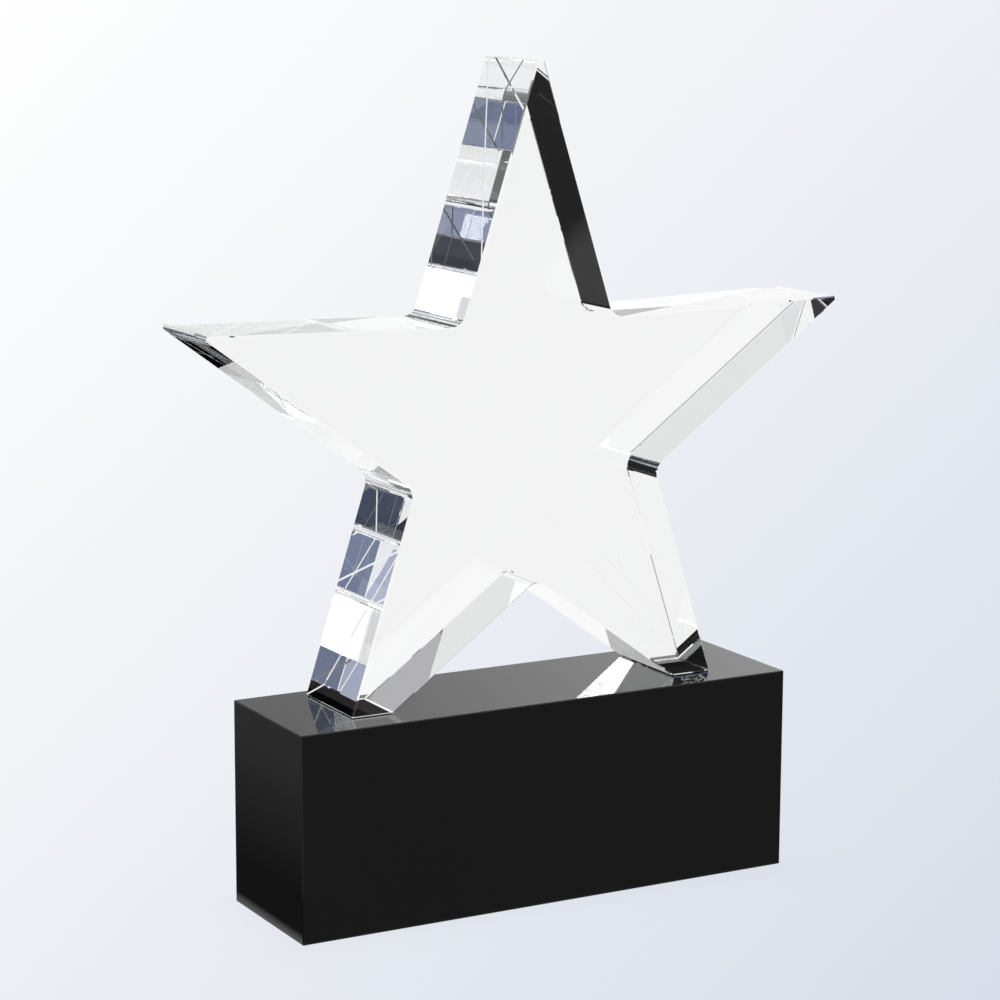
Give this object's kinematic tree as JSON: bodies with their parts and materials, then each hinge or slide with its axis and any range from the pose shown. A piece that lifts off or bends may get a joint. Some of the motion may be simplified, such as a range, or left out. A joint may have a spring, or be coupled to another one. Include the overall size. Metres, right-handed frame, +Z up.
{
  "type": "crystal award",
  "caption": "Clear crystal star award: a thick flat five-pointed star bonded by its two feet to a polished black glass block on stick-on bumpers.",
  "frame": {"origin": "on the table, under the middle of the base block", "axes": "+Z up, +X to the right of someone facing the award, +Y towards its back, so the front faces -Y"},
  "size_m": [0.204, 0.045, 0.2421],
  "materials": {
    "clear_crystal": "polished, colourless",
    "black_glass": "polished, opaque black",
    "clear_adhesive": "clear cured film",
    "bumper_rubber": "matte black polyurethane"
  },
  "bodies": {
    "root": {"crystal_star": "clear_crystal", "base_block": "black_glass", "left_foot_bond": "clear_adhesive", "right_foot_bond": "clear_adhesive", "front_left_bumper": "bumper_rubber", "front_right_bumper": "bumper_rubber", "back_left_bumper": "bumper_rubber", "back_right_bumper": "bumper_rubber"}
  },
  "joints": []
}
